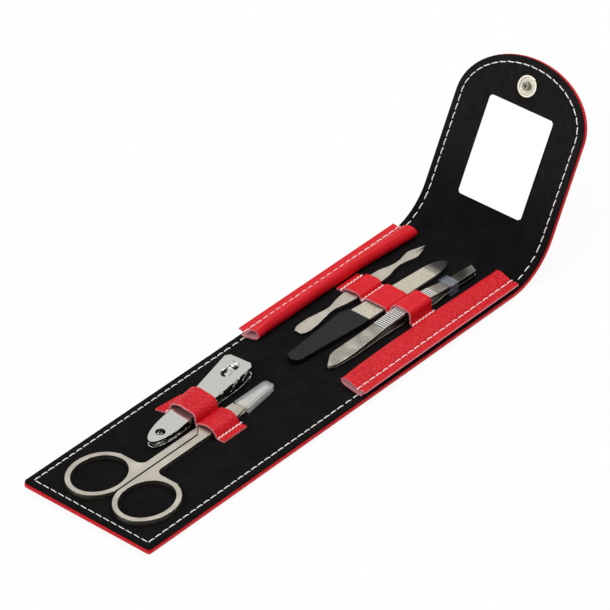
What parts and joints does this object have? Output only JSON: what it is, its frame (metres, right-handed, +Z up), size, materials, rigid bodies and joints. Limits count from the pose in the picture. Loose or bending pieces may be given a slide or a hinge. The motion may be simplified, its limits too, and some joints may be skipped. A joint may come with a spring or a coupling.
{
  "type": "manicure set case",
  "caption": "Folding leather manicure case lying open, with strap loops holding a clipper, scissors, pusher, file and tweezers, and a flap with a mirror and snap.",
  "frame": {"origin": "centre of the back panel's underside, the face the open case lies on", "axes": "+X across the case to the right, +Y along it from the front panel toward the flap, +Z up out of the lining"},
  "size_m": [0.06, 0.2529, 0.0685],
  "materials": {
    "red_leather": "pebbled red leather, white running stitch",
    "black_suede": "brushed black suede lining",
    "board": "grey-brown stiffening board, hidden",
    "mirror_glass": "silvered glass",
    "bright_nickel": "polished nickel plate",
    "satin_steel": "satin nickel-plated steel",
    "clear_plastic": "thin clear plastic",
    "black_vinyl": "soft black vinyl"
  },
  "bodies": {
    "back_panel": {"back_leather": "red_leather", "back_board": "board", "back_lining": "black_suede", "left_gusset": "red_leather", "right_gusset": "red_leather", "back_strap": "red_leather"},
    "bottom_spine": {"bottom_spine_leather": "red_leather", "bottom_spine_lining": "black_suede"},
    "front_panel": {"front_leather": "red_leather", "front_board": "board", "front_lining": "black_suede", "front_strap": "red_leather", "snap_socket": "bright_nickel", "snap_socket_post": "bright_nickel"},
    "top_spine": {"top_spine_leather": "red_leather", "top_spine_lining": "black_suede"},
    "flap": {"flap_leather": "red_leather", "flap_board": "board", "flap_lining": "black_suede", "mirror": "mirror_glass", "snap_stud": "bright_nickel", "snap_cap": "bright_nickel"},
    "clipper": {"clipper_lower_leaf": "bright_nickel", "clipper_pin": "bright_nickel", "clipper_rivet": "bright_nickel"},
    "clipper_jaw": {"clipper_upper_leaf": "bright_nickel"},
    "clipper_handle": {"clipper_lever": "bright_nickel"},
    "scissors": {"scissors_half_a": "satin_steel", "scissors_screw": "satin_steel"},
    "scissors_moving": {"scissors_half_b": "satin_steel"},
    "tip_guard": {"scissors_tip_guard": "clear_plastic"},
    "pusher": {"cuticle_pusher": "satin_steel"},
    "file": {"nail_file": "satin_steel", "file_sleeve": "black_vinyl"},
    "tweezers": {"tweezers_lower_arm": "satin_steel"},
    "tweezers_moving": {"tweezers_upper_arm": "satin_steel"},
    "collar": {"tweezers_collar": "clear_plastic"}
  },
  "joints": [
    {"name": "bottom_spine_fold", "type": "hinge", "parent": "back_panel", "child": "bottom_spine", "pos_m": [0, -0.05, 0.0028], "axis": [-1, 0, 0], "range_deg": [0, 90]},
    {"name": "front_panel_fold", "type": "hinge", "parent": "bottom_spine", "child": "front_panel", "pos_m": [0, -0.063, 0.0028], "axis": [-1, 0, 0], "range_deg": [0, 90]},
    {"name": "top_spine_fold", "type": "hinge", "parent": "back_panel", "child": "top_spine", "pos_m": [0, 0.05, 0.0028], "axis": [1, 0, 0], "range_deg": [-51.5, 38.5]},
    {"name": "flap_fold", "type": "hinge", "parent": "top_spine", "child": "flap", "pos_m": [0, 0.06071, 0.01626], "axis": [1, 0, 0], "range_deg": [-10.6, 79.4]},
    {"name": "clipper_slide", "type": "slide", "parent": "front_panel", "child": "clipper", "axis": [0.0872, -0.9962, 0], "range_m": [-0.012, 0]},
    {"name": "clipper_squeeze", "type": "hinge", "parent": "clipper", "child": "clipper_jaw", "pos_m": [-0.00874, -0.11303, 0.00415], "axis": [0.9962, 0.0872, 0], "range_deg": [-0.9, 0]},
    {"name": "clipper_lever_lift", "type": "hinge", "parent": "clipper", "child": "clipper_handle", "pos_m": [-0.01261, -0.06879, 0.00969], "axis": [0.9962, 0.0872, 0], "range_deg": [-0.5, 0]},
    {"name": "scissors_slide", "type": "slide", "parent": "front_panel", "child": "scissors", "axis": [0, 1, 0], "range_m": [-0.035, 0]},
    {"name": "scissors_pivot", "type": "hinge", "parent": "scissors", "child": "scissors_moving", "pos_m": [0.0009, -0.0927, 0.004], "axis": [0, 0, -1], "range_deg": [-0.8, 0]},
    {"name": "tip_guard_slide", "type": "slide", "parent": "scissors", "child": "tip_guard", "axis": [0, -1, 0], "range_m": [-0.012, 0]},
    {"name": "pusher_slide", "type": "slide", "parent": "back_panel", "child": "pusher", "axis": [0.0105, 0.9999, 0], "range_m": [-0.016, 0]},
    {"name": "file_slide", "type": "slide", "parent": "back_panel", "child": "file", "axis": [0.0314, 0.9995, 0], "range_m": [-0.01, 0]},
    {"name": "tweezers_slide", "type": "slide", "parent": "back_panel", "child": "tweezers", "axis": [0.0419, 0.9991, 0], "range_m": [-0.012, 0]},
    {"name": "tweezers_squeeze", "type": "hinge", "parent": "tweezers", "child": "tweezers_moving", "pos_m": [0.00848, -0.03391, 0.00415], "axis": [0.9991, -0.0419, 0], "range_deg": [-0.5, 0]},
    {"name": "collar_slide", "type": "slide", "parent": "tweezers", "child": "collar", "axis": [-0.0419, -0.9991, 0], "range_m": [-0.012, 0]}
  ]
}
